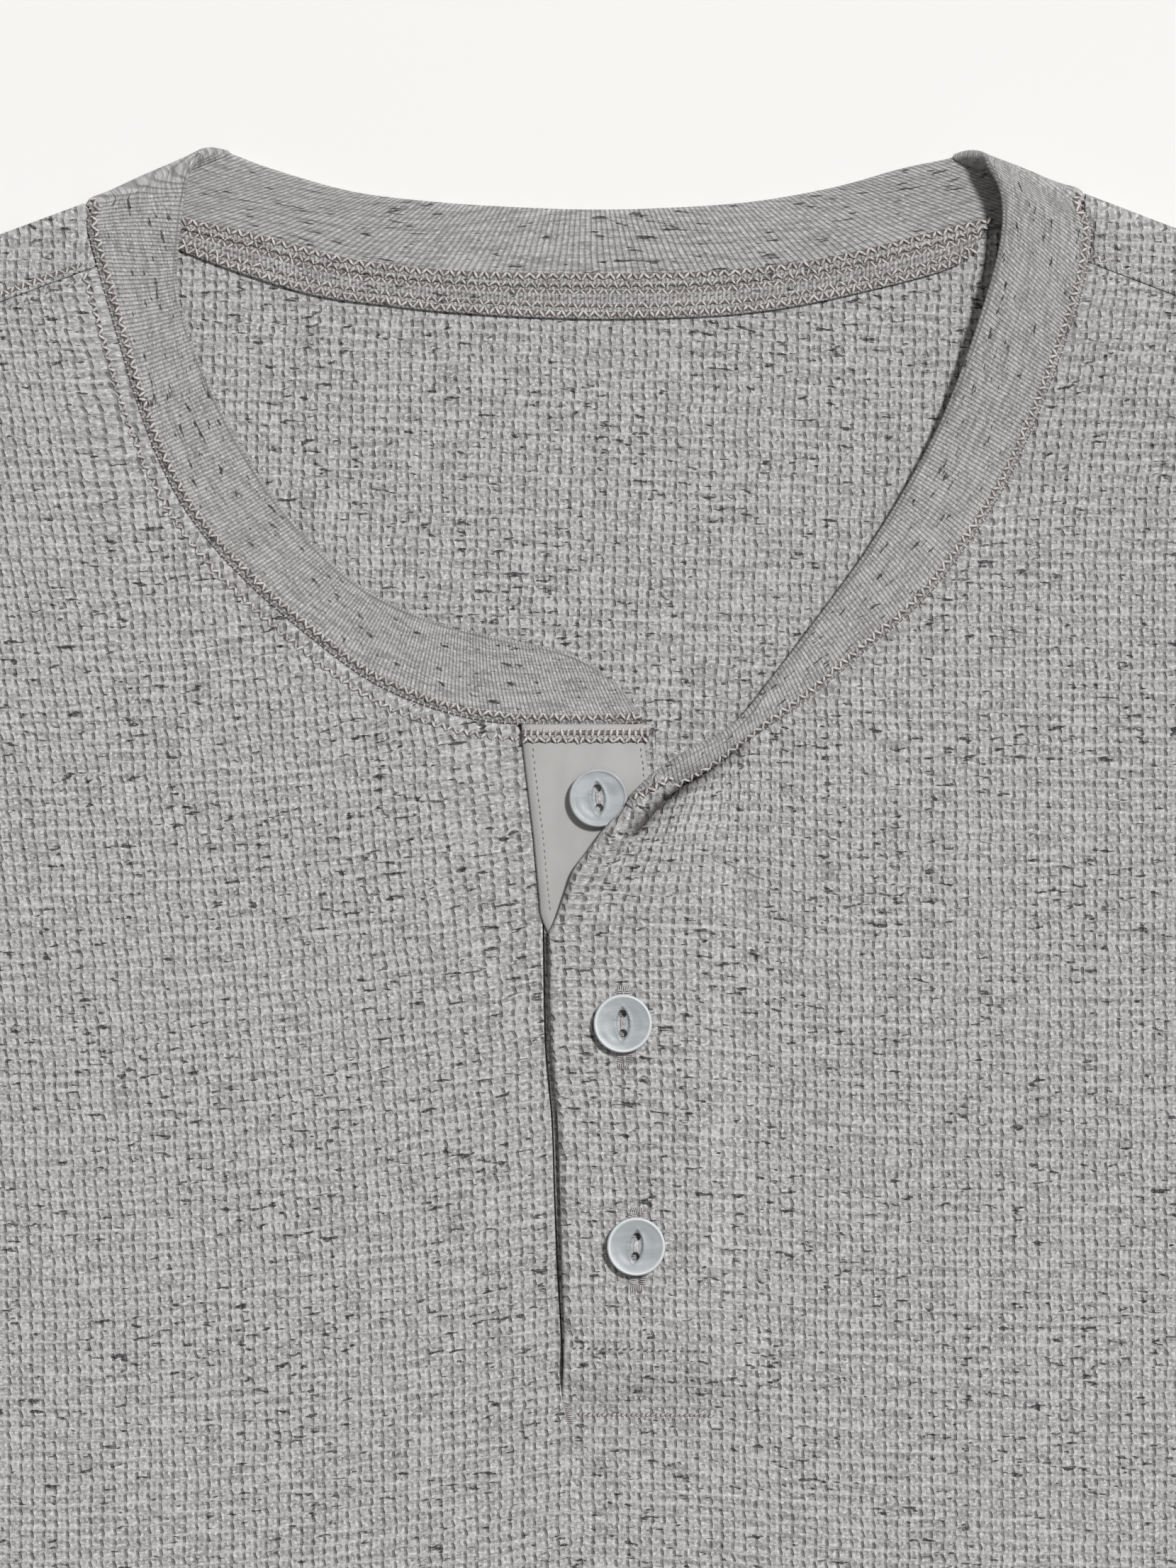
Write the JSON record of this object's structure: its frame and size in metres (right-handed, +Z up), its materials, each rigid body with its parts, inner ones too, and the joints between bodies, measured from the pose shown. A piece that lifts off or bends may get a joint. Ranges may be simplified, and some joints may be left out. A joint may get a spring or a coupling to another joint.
{
  "type": "thermal henley top",
  "caption": "Long-sleeved thermal top in waffle knit with a rib neckband and a buttoned placket, its top button undone, lying flat on its back.",
  "frame": {"origin": "middle of the garment's outline, on the surface it lies on", "axes": "+X towards the wearer's left arm, +Y towards the neck, +Z up out of the front of the garment"},
  "size_m": [1.387, 0.7106, 0.01],
  "materials": {
    "waffle_knit": "matte, grey heather",
    "rib_knit": "matte, grey heather",
    "woven_facing": "matte, fine plain weave",
    "button_plastic": "satin"
  },
  "bodies": {
    "root": {"back_panel": "waffle_knit", "front_panel": "waffle_knit", "sleeve_left": "waffle_knit", "sleeve_right": "waffle_knit", "neckband": "rib_knit", "underlap": "waffle_knit", "underlap_facing": "woven_facing", "button_1": "button_plastic", "button_2": "button_plastic", "button_3": "button_plastic"}
  },
  "joints": []
}
